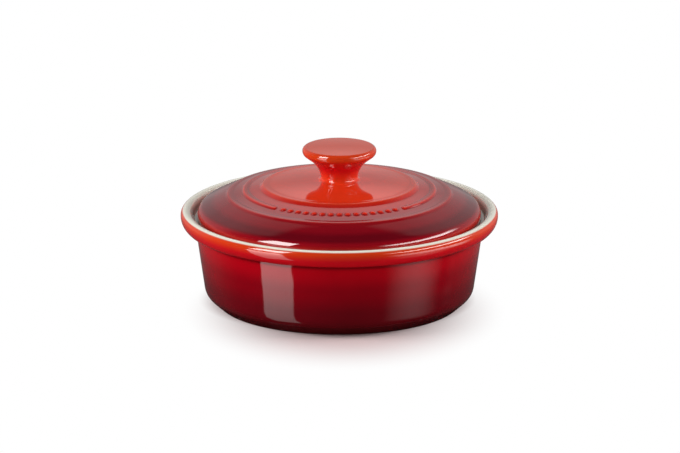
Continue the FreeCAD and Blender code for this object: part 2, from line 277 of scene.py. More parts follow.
class KnobSizes(bpy.types.PropertyGroup):
    """The knob's half section, which runs on from the lid's."""

    top: length("Top", "Table to the top of the knob", LID_HIGH.z / MM)
    radius: length("Radius", "Axis to the knob's edge", 18.65)
    crown: length("Crown", "Crown of the knob's top", 0.75)
    edge_curve: length("Edge curve", "Radius of the knob's upper edge", 2.1)
    under_curve: length("Under curve", "Radius of the knob's lower edge", 3)
    neck_radius: length("Neck radius", "Axis to the neck where it is thinnest", 9)
    neck_curve: length("Neck curve", "Radius of the neck's hollow", 14.3)
    neck_flare: angle("Neck flare", "Lean of the neck under the knob", 53.5)
    neck_round: length("Neck round", "Rounding where the neck meets the plateau", 1.8)


class GlazeColours(bpy.types.PropertyGroup):
    """Linear colours of the glazes and the bare clay."""

    bright: colour("Bright", "Orange-red where the glaze runs thin", 0.53, 0.036, 0.006)
    band_low: colour("Band, low", "Red on the lower part of the band", 0.47, 0.004, 0.009)
    # Painted shade: this colour darkens the wall just under the band, where the band's overhang
    # shades it
    groove: colour("Groove", "Glaze pooled in the groove under the band", 0.20, 0.001, 0.004)
    # Down the wall the red darkens by the glaze's own gradient, deepened near the foot by painted
    # shade
    wall_top: colour("Wall, top", "Red under the band", 0.36, 0.001, 0.006)
    wall_middle: colour("Wall, middle", "Red half way down the wall", 0.19, 0.001, 0.005)
    wall_low: colour("Wall, low", "Dark red low on the wall", 0.105, 0.002, 0.005)
    base: colour("Base", "Darkest red at the foot of the wall", 0.048, 0.003, 0.004)
    neck: colour("Neck", "Red under the knob", 0.51, 0.002, 0.008)
    neck_foot: colour("Neck, foot", "Orange-red at the foot of the neck", 0.60, 0.036, 0.009)
    plateau: colour("Plateau", "Red on the middle of the lid", 0.58, 0.030, 0.007)
    inner_slope: colour("Inner slope", "Red outside the inner ring", 0.40, 0.012, 0.008)
    outer_slope: colour("Outer slope", "Red inside the outer ring", 0.24, 0.005, 0.008)
    shoulder: colour("Shoulder", "Dark red outside the outer ring", 0.185, 0.003, 0.008)
    deep: colour("Deep", "Darkest red near the lid's edge", 0.11, 0.002, 0.006)
    lid_edge: colour("Lid edge", "Red on the lid's rounded edge", 0.23, 0.003, 0.008)
    lid_low: colour("Lid, low", "Red at the foot of the lid's edge", 0.44, 0.014, 0.009)
    middle_thin: colour("Middle ring", "Where the glaze runs thin on it", 0.56, 0.022, 0.008)
    outer_thin: colour("Outer ring", "Where the glaze runs thin on it", 0.38, 0.012, 0.008)
    cream: colour("Cream", "Cream glaze inside and on the rim", 0.66, 0.635, 0.545)
    cream_pooled: colour("Pooled cream", "Cream glaze where it is thick", 0.57, 0.54, 0.46)
    # Painted shade: the dark cream round the ledge, in the gap under the lid's edge
    ledge: colour("Ledge", "Thin cream glaze down at the lid's seat", 0.17, 0.125, 0.10)
    clay: colour("Clay", "Bare stoneware on the foot and the seat", 0.50, 0.42, 0.33)


Corner = namedtuple("Corner", "radius height rounding curve step", defaults=(0, 0, LONGEST_STEP))
Corner.__doc__ = """A corner of a half section.

rounding is its own radius. curve is the radius of the stretch that runs on from it, below nought
where that is hollow and nought where it is straight. step is the longest step along the stretch.
"""


def quarter_radius(across, up):
    """Radius of an arc that starts square to its shorter side."""
    return (across**2 + up**2) / (2 * up)


def stretch(corner, following):
    """Points from one corner to the next, straight or along an arc."""
    start = Vector((corner.radius, corner.height))
    end = Vector((following.radius, following.height))
    chord = end - start
    if not corner.curve:
        count = max(1, math.ceil(chord.length / corner.step))
        return [start.lerp(end, number / count) for number in range(count + 1)]
    radius = abs(corner.curve)
    half_turn = math.asin(min(1, chord.length / (2 * radius)))
    steps_by_turn = math.ceil(2 * half_turn / ARC_STEP)
    count = max(2, steps_by_turn, math.ceil(chord.length / corner.step))
    way = math.copysign(1, corner.curve)
    outwards = Vector((chord.y, -chord.x)).normalized() * way
    centre = (start + end) / 2 - outwards * math.sqrt(max(0, radius**2 - (chord.length / 2) ** 2))
    arm = start - centre
    turns = [way * 2 * half_turn * number / count for number in range(count + 1)]
    return [centre + Matrix.Rotation(turn, 2) @ arm for turn in turns]


def shorten(points, cut):
    """Take a length off the end of a run of points."""
    points = list(points)
    while len(points) > 2 and (points[-1] - points[-2]).length <= cut:
        cut -= (points[-1] - points[-2]).length
        points.pop()
    last = points[-1] - points[-2]
    points[-1] = points[-2] + last * (1 - cut / last.length)
    return points


def round_off(before, after, rounding):
    """Round the corner between two runs. Gives both runs, shortened, and the points between."""
    turn = (before[-1] - before[-2]).angle(after[1] - after[0])
    cut = rounding * math.tan(turn / 2)
    before = shorten(before, cut)
    after = shorten(after[::-1], cut)[::-1]
    start, end = before[-1], after[0]
    ahead = (before[-1] - before[-2]).normalized()
    behind = (after[0] - after[1]).normalized()
    across = end - start
    reach = across.cross(behind) / ahead.cross(behind)
    corner = start + ahead * reach
    weight = math.cos(ahead.angle(-behind) / 2)
    count = max(2, math.ceil(turn / BEND_STEP))
    bend = []
    for number in range(1, count):
        share = number / count
        shares = ((1 - share) ** 2, 2 * share * (1 - share) * weight, share**2)
        total = sum(shares)
        bend.append((start * shares[0] + corner * shares[1] + end * shares[2]) / total)
    return before, bend, after


def half_section(corners):
    """Turn a list of corners into the close points of a half section."""
    runs = [stretch(*pair) for pair in pairwise(corners)]
    bends = {}
    for number, corner in enumerate(corners[1:-1], start=1):
        if corner.rounding:
            before, bend, after = round_off(runs[number - 1], runs[number], corner.rounding)
            runs[number - 1], bends[number], runs[number] = before, bend, after
    points = list(runs[0])
    for number, run in enumerate(runs[1:], start=1):
        points += bends[number] + run if number in bends else run[1:]
    return points


def draw_section(name, points):
    """Draw a half section in the XZ plane, from one vertex drawn out from point to point."""
    bpy.ops.object.select_all(action="DESELECT")
    bpy.ops.mesh.primitive_plane_add(size=MM)
    piece = bpy.context.object
    piece.name = piece.data.name = name
    bpy.ops.object.mode_set(mode="EDIT")
    bpy.ops.mesh.select_all(action="SELECT")
    bpy.ops.mesh.merge(type="CENTER")
    bpy.ops.transform.translate(value=(points[0].x, 0, points[0].y))
    for here, there in pairwise(points):
        step = there - here
        bpy.ops.mesh.extrude_region_move(TRANSFORM_OT_translate={"value": (step.x, 0, step.y)})
    bpy.ops.object.mode_set(mode="OBJECT")
    return piece


def turn_section(name, corners, sectors):
    """Draw a half section, spin it once round the upright axis and close the form.

    Each sector is a sweep in degrees and its number of steps.
    """
    piece = draw_section(name, half_section(corners))
    bpy.ops.object.mode_set(mode="EDIT")
    bpy.ops.mesh.select_all(action="SELECT")
    for sweep, steps in sectors:
        bpy.ops.mesh.spin(steps=steps, angle=math.radians(sweep), center=(0, 0, 0), axis=(0, 0, 1))
    bpy.ops.mesh.select_all(action="SELECT")
    bpy.ops.mesh.remove_doubles(threshold=SAME_PLACE)
    bpy.ops.mesh.normals_make_consistent(inside=False)
    bpy.ops.object.mode_set(mode="OBJECT")
    bpy.ops.object.shade_smooth()
    return piece


def vertex_places(piece):
    """The vertices' places and normals, a row for each."""
    results = []
    for name in ("co", "normal"):
        values = np.empty(len(piece.data.vertices) * 3)
        piece.data.vertices.foreach_get(name, values)
        results.append(values.reshape(-1, 3))
    return results


def write_attribute(piece, name, values):
    """Store one value for each vertex under a name that the materials read."""
    attribute = piece.data.attributes.new(name, "FLOAT", "POINT")
    attribute.data.foreach_set("value", np.ascontiguousarray(values, dtype=np.float32))


def mark_bends(piece):
    """Store how sharply the surface bends, per millimetre, above nought where it bulges.

    Glaze runs thin over what bulges and pools in what is hollow, a little way to each side, so
    the values are softened over their neighbours.
    """
    places, normals = vertex_places(piece)
    edges = np.empty(len(piece.data.edges) * 2, dtype=np.int64)
    piece.data.edges.foreach_get("vertices", edges)
    first, second = edges.reshape(-1, 2).T
    along = places[second] - places[first]
    squares = np.maximum((along**2).sum(axis=1), SAME_PLACE**2)
    from_first = -2 * (along * normals[first]).sum(axis=1) / squares
    from_second = 2 * (along * normals[second]).sum(axis=1) / squares
    count = len(places)
    neighbours = np.bincount(first, minlength=count) + np.bincount(second, minlength=count)

    def gather(at_first, at_second):
        total = np.bincount(first, at_first, count) + np.bincount(second, at_second, count)
        return total / np.maximum(neighbours, 1)

    bend = gather(from_first, from_second) * MM
    for _ in range(SOFTENINGS):
        bend = (bend + gather(bend[second], bend[first])) / 2
    write_attribute(piece, "bend", bend)


def smooth_step(values, low, high):
    """Nought below low and one above high, with a soft rise between."""
    share = np.clip((values - low) / (high - low), 0, 1)
    return share * share * (3 - 2 * share)


def finish_piece(piece, node, material):
    """Give a piece its material, its place on the body and the node that it stands for."""
    piece.data.materials.append(material)
    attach(piece, "root")
    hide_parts(node)


def dish_corners(sizes):
    """The dish's half section, from the middle of its foot round to the middle of its floor."""
    crest = sizes.rim_radius - sizes.crest_inset
    side_top = sizes.height - sizes.crest_drop
    band_foot = sizes.height - sizes.band_height
    side_foot = side_top - sizes.band_flat
    tuck_curve = quarter_radius(side_foot - band_foot, sizes.band_tuck)
    wall_top = sizes.rim_radius - sizes.rim_overhang
    lean = math.tan(sizes.wall_draft)
    wall_base = wall_top - lean * (band_foot - sizes.corner_height)
    foot = wall_base - sizes.corner_inset
    foot_inside = foot - sizes.foot_width
    lip_radius = sizes.rim_radius - sizes.lip_inset
    lip_height = sizes.height - sizes.lip_drop
    ledge = sizes.height - sizes.ledge_depth
    pocket = lip_radius - sizes.pocket_flare
    inner_line = wall_base - sizes.wall - lean * sizes.corner_height
    return [
        Corner(0, sizes.foot_recess),
        Corner(foot_inside - sizes.foot_recess, sizes.foot_recess, sizes.foot_round),
        Corner(foot_inside, 0, sizes.foot_round),
        Corner(foot, 0, sizes.foot_round),
        Corner(wall_base, sizes.corner_height, sizes.corner_round),
        Corner(wall_top, band_foot, sizes.groove_round),
        Corner(sizes.rim_radius - sizes.band_tuck, band_foot, sizes.band_round, tuck_curve),
        Corner(sizes.rim_radius, side_foot),
        Corner(sizes.rim_radius, side_top, 0, quarter_radius(sizes.crest_inset, sizes.crest_drop)),
        Corner(crest, sizes.height, 0, quarter_radius(crest - lip_radius, sizes.lip_drop)),
        Corner(lip_radius, lip_height, sizes.lip_round),
        Corner(pocket, ledge, sizes.pocket_round),
        Corner(inner_line + lean * ledge, ledge, sizes.ledge_round),
        Corner(inner_line + lean * sizes.floor, sizes.floor, sizes.floor_round),
        Corner(0, sizes.floor),
    ]


def lid_corners(sizes, knob):
    """The lid's half section, from under its middle, round its edge and up over the knob."""
    seat_top = sizes.seat + sizes.edge
    shoulder_radius = sizes.radius - sizes.edge_curve * (1 - math.sin(sizes.shoulder_slope))
    shoulder_height = seat_top + sizes.edge_curve * math.cos(sizes.shoulder_slope)
    seat_inside = sizes.radius - sizes.seat_round - sizes.seat_width
    hollow_edge = seat_inside - sizes.hollow_rise / 2
    plateau_top = sizes.seat + sizes.rise
    plateau_height = plateau_top - sizes.plateau_drop
    outer_foot = sizes.radius - sizes.shoulder_width
    outer_crease = outer_foot - sizes.outer_width
    inner_foot = outer_crease - sizes.slope_width
    plateau = inner_foot - sizes.inner_width
    inner_height = plateau_height - sizes.inner_step
    crease_height = inner_height - sizes.slope_drop
    outer_height = crease_height - sizes.outer_step
    plateau_curve = quarter_radius(plateau, sizes.plateau_drop)
    fall = sizes.slope_drop / sizes.slope_width
    row = outer_crease - sizes.middle_inset
    relief_out, relief_in = row + sizes.middle_width, row - sizes.middle_width
    ring_lip = partial(Corner, rounding=sizes.lip_round, curve=sizes.ring_curve)

    side_height = knob.top - knob.crown - knob.edge_curve
    flat = knob.radius - knob.edge_curve
    under_radius = knob.radius - knob.under_curve * (1 - math.cos(knob.neck_flare))
    under_height = side_height - knob.under_curve * math.sin(knob.neck_flare)
    flare_radius = knob.neck_radius + knob.neck_curve * (1 - math.cos(knob.neck_flare))
    flare_height = under_height - (under_radius - flare_radius) / math.tan(knob.neck_flare)
    neck_height = flare_height - knob.neck_curve * math.sin(knob.neck_flare)
    neck_foot = plateau_top - knob.neck_radius**2 / (2 * plateau_curve)
    dip = max(0, neck_foot - neck_height)
    neck_radius = knob.neck_radius + knob.neck_curve - math.sqrt(knob.neck_curve**2 - dip**2)
    return [
        Corner(0, plateau_top - sizes.thickness, 0, -(plateau_curve - sizes.thickness)),
        Corner(plateau, plateau_height - sizes.thickness, 0, -sizes.shoulder_curve),
        Corner(hollow_edge, sizes.seat + sizes.hollow_rise, sizes.hollow_round),
        Corner(seat_inside, sizes.seat, sizes.crease_round / 2),
        Corner(sizes.radius, sizes.seat, sizes.seat_round),
        Corner(sizes.radius, seat_top, 0, sizes.edge_curve),
        Corner(shoulder_radius, shoulder_height, 0, sizes.shoulder_curve, SHOULDER_STEP),
        Corner(outer_foot, outer_height, sizes.crease_round),
        ring_lip(outer_foot - sizes.outer_lean, outer_height + sizes.outer_lip),
        Corner(outer_crease, crease_height, sizes.crease_round),
        Corner(relief_out, crease_height + fall * (outer_crease - relief_out), 0, 0, FINE_STEP),
        Corner(relief_in, crease_height + fall * (outer_crease - relief_in)),
        Corner(inner_foot, inner_height, sizes.crease_round),
        ring_lip(inner_foot - sizes.inner_lean, inner_height + sizes.inner_lip),
        Corner(plateau, plateau_height, sizes.crease_round * 2, plateau_curve),
        Corner(neck_radius, neck_foot, knob.neck_round, -knob.neck_curve, SHOULDER_STEP),
        Corner(flare_radius, flare_height),
        Corner(under_radius, under_height, 0, knob.under_curve),
        Corner(knob.radius, side_height, 0, knob.edge_curve),
        Corner(flat, knob.top - knob.crown, 0, quarter_radius(flat, knob.crown)),
        Corner(0, knob.top),
    ]


def cap_height(distance, half_width, rise, melt):
    """Height of a rounded cap over its base, by the distance from its middle.

    Its foot runs out softly over the melt, as glaze fills the crease there.
    """
    curve = half_width**2 / (2 * rise) + rise / 2
    inside = np.sqrt(np.maximum(curve**2 - distance**2, 0)) - (curve - rise)
    overlap = np.maximum(melt - np.abs(inside), 0) / melt
    return np.maximum(inside, 0) + overlap**2 * melt / 4


def raise_relief(piece, sizes):
    """Raise the middle ring and the pearls out of the lid's slope with a weighted displacement."""
    places, _ = vertex_places(piece)
    outer_crease = sizes.radius - sizes.shoulder_width - sizes.outer_width
    row = outer_crease - sizes.middle_inset
    fall = math.atan2(sizes.slope_drop, sizes.slope_width)
    radii = np.hypot(places[:, 0], places[:, 1])
    from_front = np.arctan2(places[:, 0], -places[:, 1])
    up_slope = (radii - row) / math.cos(fall)

    def distance_to(turn, across):
        return np.hypot(row * (from_front - turn), across)

    half_width = sizes.middle_width / 2
    from_crest = up_slope - sizes.middle_lean
    side = np.where(from_crest > 0, half_width - sizes.middle_lean, half_width + sizes.middle_lean)
    across_ring = from_crest * half_width / side
    half_gap = sizes.middle_gap / 2
    to_ends = np.minimum(distance_to(half_gap, across_ring), distance_to(-half_gap, across_ring))
    to_ring = np.where(np.abs(from_front) >= half_gap, np.abs(across_ring), to_ends)
    ring = cap_height(to_ring, half_width, sizes.middle_bulge, sizes.relief_melt)
    turns = np.linspace(-sizes.pearl_spread / 2, sizes.pearl_spread / 2, sizes.pearl_count)
    to_pearl = np.min([distance_to(turn, up_slope) for turn in turns], axis=0)
    pearls = cap_height(to_pearl, sizes.pearl_width / 2, sizes.pearl_height, sizes.relief_melt)
    on_slope = (np.abs(up_slope) < sizes.middle_width) & (places[:, 2] > sizes.seat + sizes.rise / 2)
    height = np.where(on_slope, np.maximum(ring, pearls), 0)

    group = piece.vertex_groups.new(name="relief")
    for index in np.flatnonzero(height > 0):
        group.add([int(index)], height[index] / sizes.pearl_height, "REPLACE")
    relief = piece.modifiers.new("relief", "DISPLACE")
    relief.direction = "NORMAL"
    relief.vertex_group = group.name
    relief.mid_level = 0
    relief.strength = sizes.pearl_height
    bpy.ops.object.modifier_apply(modifier=relief.name)
    piece.vertex_groups.clear()


def feed(tree, socket, value):
    """Link a socket to another one, or set its value."""
    if isinstance(value, bpy.types.NodeSocket):
        tree.links.new(value, socket)
    else:
        socket.default_value = value


def add_node(tree, kind, **settings):
    """Add a shader node. Capitalised settings feed its inputs, and the others are its own."""
    node = tree.nodes.new(kind)
    for name, value in settings.items():
        if name[0].isupper():
            feed(tree, node.inputs[name.replace("_", " ")], value)
        else:
            setattr(node, name, value)
    return node


def calculate(tree, operation, first, second=0):
    """A Math node on two values or sockets."""
    node = add_node(tree, "ShaderNodeMath", operation=operation)
    feed(tree, node.inputs[0], first)
    feed(tree, node.inputs[1], second)
    return node.outputs[0]


def product(tree, *factors):
    """Values or sockets, multiplied."""
    return reduce(partial(calculate, tree, "MULTIPLY"), factors)


def total(tree, *terms):
    """Values or sockets, added up."""
    return reduce(partial(calculate, tree, "ADD"), terms)


def spread(tree, value, low, high):
    """Nought to one with a soft rise, as a value goes from low to high."""
    smooth = {"interpolation_type": "SMOOTHSTEP"}
    node = add_node(tree, "ShaderNodeMapRange", Value=value, From_Min=low, From_Max=high, **smooth)
    return node.outputs["Result"]


def blend_colours(tree, share, first, second):
    """Mix two colours or colour sockets by a share."""
    node = add_node(tree, "ShaderNodeMix", data_type="RGBA", clamp_factor=True)
    for index, value in ((0, share), (6, first), (7, second)):
        feed(tree, node.inputs[index], value)
    return node.outputs[2]


def mix_shaders(tree, share, first, second):
    """Mix two shader nodes by a share."""
    node = tree.nodes.new("ShaderNodeMixShader")
    for socket, source in zip(node.inputs, (share, first.outputs[0], second.outputs[0])):
        tree.links.new(source, socket)
    return node


def opaque(rgb):
    """A colour with its alpha."""
    return (*rgb, 1)


def new_group(name, inputs, outputs):
    """Start a node group with its sockets' names by kind. Gives it, its way in and its way out."""
    group = bpy.data.node_groups.new(name, "ShaderNodeTree")
    for way, kinds in (("INPUT", inputs), ("OUTPUT", outputs)):
        for kind, labels in kinds.items():
            for label in labels:
                group.interface.new_socket(label, in_out=way, socket_type=f"NodeSocket{kind}")
    return group, group.nodes.new("NodeGroupInput"), group.nodes.new("NodeGroupOutput")


def make_flow_group():
    """Colour of a glaze that runs thin over edges and pools in creases."""
    group, way_in, way_out = new_group(
        "glaze flow",
        {"Color": ["Body", "Thin", "Pooled"], "Float": ["Bend", "Thin at", "Pooled at"]},
        {"Color": ["Color"]},
    )
    given = way_in.outputs
    result = given["Body"]
    for state in ("Pooled", "Thin"):
        share = calculate(group, "DIVIDE", given["Bend"], given[f"{state} at"])
        result = blend_colours(group, spread(group, share, 0, 1), result, given[state])
    group.links.new(result, way_out.inputs["Color"])
    return group


def make_skin_group():
    """The fired surface: waves where the glaze has run, fine grain, specks, clouds and mottling."""
    group, way_in, way_out = new_group(
        "fired skin",
        {"Vector": ["Place"], "Float": ["Waves", "Grain"]},
        {"Float": ["Height", "Specks", "Cloud", "Mottle"]},
    )
    given = way_in.outputs
    place = given["Place"]

    def noise(scale, detail):
        node = add_node(group, "ShaderNodeTexNoise", Vector=place, Scale=scale, Detail=detail)
        return node.outputs["Fac"]

    waves = product(group, noise(*WAVE_NOISE), given["Waves"])
    grain = product(group, noise(*GRAIN_NOISE), given["Grain"])
    cells = add_node(group, "ShaderNodeTexVoronoi", Vector=place, Scale=SPECK_CELLS)
    results = {
        "Height": total(group, waves, grain),
        "Specks": spread(group, cells.outputs["Distance"], *SPECK_RANGE),
        "Cloud": spread(group, noise(*CLOUD_NOISE), *CLOUD_RANGE),
        "Mottle": spread(group, noise(*MOTTLE_NOISE), *MOTTLE_RANGE),
    }
    for label, result in results.items():
        group.links.new(result, way_out.inputs[label])
    return group


def shared_groups():
    """The two node groups that both glazed materials use, made once."""
    names = {"glaze flow": make_flow_group, "fired skin": make_skin_group}
    return [bpy.data.node_groups.get(name) or make() for name, make in names.items()]


def start_nodes(owner, output):
    """Empty a material or world but for an output. Gives the tree and the output's surface socket."""
    owner.use_nodes = True
    owner.node_tree.nodes.clear()
    return owner.node_tree, owner.node_tree.nodes.new(output).inputs["Surface"]


def new_material(name):
    """A material with nothing but its output. Gives it, its tree and its surface socket."""
    material = bpy.data.materials.new(name)
    return material, *start_nodes(material, "ShaderNodeOutputMaterial")


def read_place(tree):
    """Object coordinates, with the radius from the axis and the height beside them."""
    place = tree.nodes.new("ShaderNodeTexCoord").outputs["Object"]
    axes = add_node(tree, "ShaderNodeSeparateXYZ", Vector=place).outputs
    squares = [calculate(tree, "POWER", axes[name], 2) for name in "XY"]
    return place, calculate(tree, "SQRT", total(tree, *squares)), axes["Z"]


def colour_run(tree, value, colours, stops):
    """A colour that changes along a value, by the names of the colours and the values there."""
    result = opaque(getattr(colours, stops[0][0]))
    for (_, low), (name, high) in pairwise(stops):
        shade = opaque(getattr(colours, name))
        result = blend_colours(tree, spread(tree, value, low, high), result, shade)
    return result


def fire(tree, surface, place, body, thin, cream, pool, colours):
    """Join the red glaze, the cream glaze and the bare clay in one fired surface.

    body is the red glaze's colour, thin its colour over edges, cream the other glaze's colour,
    and pool how much the red darkens in creases.
    """
    flow, skin = shared_groups()
    bend, red_share, bare = (
        add_node(tree, "ShaderNodeAttribute", attribute_name=name).outputs["Fac"]
        for name in ("bend", "red", "bare")
    )
    flowing = partial(add_node, tree, "ShaderNodeGroup", node_tree=flow, Bend=bend)
    pooled = blend_colours(tree, pool, body, BLACK)
    red = flowing(Body=body, Thin=thin, Pooled=pooled, **RED_BENDS).outputs["Color"]
    pooled = opaque(colours.cream_pooled)
    cream = flowing(Body=cream, Thin=cream, Pooled=pooled, **CREAM_BENDS).outputs["Color"]
    fired = add_node(
        tree, "ShaderNodeGroup", node_tree=skin, Place=place, Waves=WAVES, Grain=GRAIN
    ).outputs
    glazed = blend_colours(tree, red_share, cream, red)
    mottled = blend_colours(tree, product(tree, fired["Mottle"], MOTTLE), glazed, thin)
    shaded = blend_colours(tree, product(tree, fired["Cloud"], CLOUD), mottled, BLACK)
    toned = blend_colours(tree, red_share, glazed, shaded)
    specked = product(tree, fired["Specks"], SPECKS)
    clay = blend_colours(tree, specked, opaque(colours.clay), opaque([c / 2 for c in colours.clay]))
    roughness = add_node(
        tree, "ShaderNodeMapRange", Value=bare, To_Min=GLAZE_ROUGHNESS, To_Max=CLAY_ROUGHNESS
    )
    bump = add_node(tree, "ShaderNodeBump", Height=fired["Height"], Strength=1, Distance=1)
    baked = add_node(
        tree,
        "ShaderNodeBsdfPrincipled",
        Base_Color=blend_colours(tree, bare, toned, clay),
        Roughness=roughness.outputs["Result"],
        Normal=bump.outputs["Normal"],
    )
    tree.links.new(baked.outputs["BSDF"], surface)


def dish_material(sizes, colours):
    """Red glaze outside that deepens down the wall, cream inside, and bare clay on the foot."""
    material, tree, surface = new_material("glazed_dish")
    place, _, height = read_place(tree)
    band_foot = sizes.height - sizes.band_height
    stops = [
        # The red darkens down the wall by its own gradient and, near the foot, by painted shade
        ("base", 0),
        ("wall_low", band_foot * LOW_WALL),
        ("wall_middle", band_foot * MIDDLE_WALL),
        ("wall_top", band_foot - UNDER_BAND),
        # Painted shade in the groove under the band's overhang
        ("groove", band_foot - GROOVE_SHADE_FOOT),
        ("groove", band_foot - GROOVE_SHADE_TOP),
        ("band_low", band_foot + sizes.groove_round),
        ("band_low", band_foot + sizes.band_tuck),
        ("bright", sizes.height - sizes.crest_drop / 3),
    ]
    body = colour_run(tree, height, colours, stops)
    # Painted shade: the cream darkens round the ledge, in the gap under the lid's edge
    ledge = sizes.height - sizes.ledge_depth
    from_above = spread(tree, height, ledge + LEDGE_SHADE_ABOVE, ledge + LEDGE_SHADE_CORE)
    from_below = spread(tree, height, ledge - LEDGE_SHADE_BELOW, ledge - LEDGE_SHADE_CORE)
    ledge_shade = product(tree, from_above, from_below)
    cream = blend_colours(tree, ledge_shade, opaque(colours.cream), opaque(colours.ledge))
    fire(tree, surface, place, body, body, cream, DISH_POOL, colours)
    return material


def lid_material(sizes, knob, colours):
    """Red glaze that deepens from the knob to the shoulder, cream under it, and a bare seat."""
    material, tree, surface = new_material("glazed_lid")
    place, radius, height = read_place(tree)
    outer_foot = sizes.radius - sizes.shoulder_width
    outer_crease = outer_foot - sizes.outer_width
    plateau = outer_crease - sizes.slope_width - sizes.inner_width
    inner_foot = plateau + sizes.inner_width
    stops = [
        ("plateau", plateau),
        ("inner_slope", inner_foot),
        ("outer_slope", outer_crease),
        ("shoulder", outer_foot + sizes.outer_width),
        ("deep", sizes.radius - sizes.edge_curve),
    ]
    top_body = colour_run(tree, radius, colours, stops)
    edge_foot = sizes.seat + sizes.edge
    edge_top = edge_foot + sizes.edge_curve * math.cos(sizes.shoulder_slope)
    edge_middle = (edge_foot + edge_top) / 2 + EDGE_LIFT
    stops = [("lid_low", edge_foot), ("lid_edge", edge_middle), ("deep", edge_top)]
    edge_body = colour_run(tree, height, colours, stops)
    at_edge = spread(tree, height, edge_top, edge_top - EDGE_LINE)
    lid_body = blend_colours(tree, at_edge, top_body, edge_body)
    disc_foot = knob.top - 2 * knob.edge_curve - knob.under_curve
    plateau_top = sizes.seat + sizes.rise
    stops = [
        ("neck_foot", plateau_top),
        ("neck", disc_foot - knob.edge_curve),
        ("neck", disc_foot + knob.edge_curve),
        ("bright", disc_foot + knob.edge_curve * 2),
    ]
    knob_body = colour_run(tree, height, colours, stops)
    above = spread(tree, height, plateau_top, plateau_top + knob.neck_round)
    body = blend_colours(tree, above, lid_body, knob_body)
    row = outer_crease - sizes.middle_inset
    stops = [("bright", inner_foot), ("middle_thin", row), ("outer_thin", outer_crease)]
    ring_thin = colour_run(tree, radius, colours, stops)
    on_rings = spread(tree, radius, outer_foot + MM, outer_foot)
    thin = blend_colours(tree, on_rings, body, ring_thin)
    pool = product(tree, spread(tree, radius, knob.radius, plateau), LID_POOL)
    fire(tree, surface, place, body, thin, opaque(colours.cream), pool, colours)
    return material


class BAKER_OT_dish(bpy.types.Operator):
    """Turn the dish and glaze it"""

    bl_idname = "baker.dish"
    bl_label = "Dish"
    bl_options = {"REGISTER", "UNDO"}

    def execute(self, context):
        sizes = context.scene.baker_dish
        colours = context.scene.baker_colours
        piece = turn_section("glazed_dish", dish_corners(sizes), [(360, DISH_STEPS)])
        mark_bends(piece)

        places, _ = vertex_places(piece)
        radii = np.hypot(places[:, 0], places[:, 1])
        heights = places[:, 2]
        lean = math.tan(sizes.wall_draft)
        wall_top = sizes.rim_radius - sizes.rim_overhang
        band_foot = sizes.height - sizes.band_height
        mid_wall = wall_top - sizes.wall / 2 - lean * (band_foot - heights)
        split = np.where(heights < band_foot + MM, mid_wall, sizes.rim_radius - RED_EDGE)
        outside = smooth_step(radii, split, split + BLUR)
        outside = np.where(heights < sizes.floor - FLOOR_MARGIN, 1, outside)
        on_band = (heights > band_foot + MM) & (heights < sizes.height - sizes.crest_drop)
        outside = np.where(on_band & (radii > sizes.rim_radius - sizes.band_tuck), 1, outside)
        write_attribute(piece, "red", outside)
        write_attribute(piece, "bare", heights < FOOT_WIPE)
        finish_piece(piece, "dish", dish_material(sizes, colours))
        return {"FINISHED"}


class BAKER_OT_lid(bpy.types.Operator):
    """Turn the lid with its knob, raise its ring and pearls, and glaze it"""

    bl_idname = "baker.lid"
    bl_label = "Lid"
    bl_options = {"REGISTER", "UNDO"}

    def execute(self, context):
        sizes = context.scene.baker_lid
        knob = context.scene.baker_knob
        colours = context.scene.baker_colours
        side = 90 - FINE_FRONT / 2
        back = 360 - side - FINE_FRONT
        sectors = [
            (side, round(side / BACK_TURN)),
            (FINE_FRONT, round(FINE_FRONT / FINE_TURN)),
            (back, round(back / BACK_TURN)),
        ]
        piece = turn_section("glazed_lid", lid_corners(sizes, knob), sectors)
        raise_relief(piece, sizes)
        mark_bends(piece)

        places, _ = vertex_places(piece)
        heights = places[:, 2]
        radii = np.hypot(places[:, 0], places[:, 1])
        fall = sizes.plateau_drop * (radii / sizes.radius) ** 2 * UNDERSIDE_FALL
        under = sizes.seat + sizes.rise - sizes.thickness / 2 - fall
        red = np.where((heights > under) | (radii > sizes.radius - sizes.seat_round), 1, 0)
        at_edge = radii > sizes.radius - sizes.edge_curve
        red = np.where(at_edge, heights > sizes.seat + LID_RED_FOOT, red)
        wiped = 1 - smooth_step(heights, sizes.seat + SEAT_WIPE, sizes.seat + BLUR)
        write_attribute(piece, "red", red)
        write_attribute(piece, "bare", wiped)
        finish_piece(piece, "lid", lid_material(sizes, knob, colours))
        return {"FINISHED"}


class StageSettings(bpy.types.PropertyGroup):
    """The camera, the floor and the lamps."""

    camera_distance: length("Camera distance", "From the point looked at", 6717)
    camera_elevation: angle("Camera elevation", "Above the horizontal", 15.8)
    camera_lens: bpy.props.FloatProperty(
        name="Lens", description="Focal length in millimetres", default=705.2
    )
    look_height: length("Look height", "Height of the point looked at", 39.2)
    look_across: length("Look across", "Point looked at, to the right of the axis", 0.34)
    floor_size: length("Floor size", "Side of the floor", 8000)


def toward(azimuth, elevation, distance):
    """A place by its angle left of the front, its angle above the horizontal and its distance."""
    azimuth, elevation = math.radians(azimuth), math.radians(elevation)
    level = distance * math.cos(elevation)
    return Vector(
        (-level * math.sin(azimuth), -level * math.cos(azimuth), distance * math.sin(elevation))
    )


def add_lamp(name, azimuth, elevation, distance, radiance):
    """Add a square softbox that faces the baker and doesn't show in its gloss."""
    place = toward(azimuth, elevation, distance)
    bpy.ops.object.light_add(type="AREA", location=place)
    lamp = bpy.context.object
    lamp.name = name
    way = Vector((0, 0, LAMP_AIM)) - place
    lamp.rotation_euler = way.to_track_quat("-Z", "Y").to_euler()
    lamp.data.shape = "SQUARE"
    lamp.data.size = FILL_SIDE
    lamp.data.energy = radiance * math.pi * FILL_SIDE**2
    lamp.visible_camera = False
    lamp.visible_glossy = False


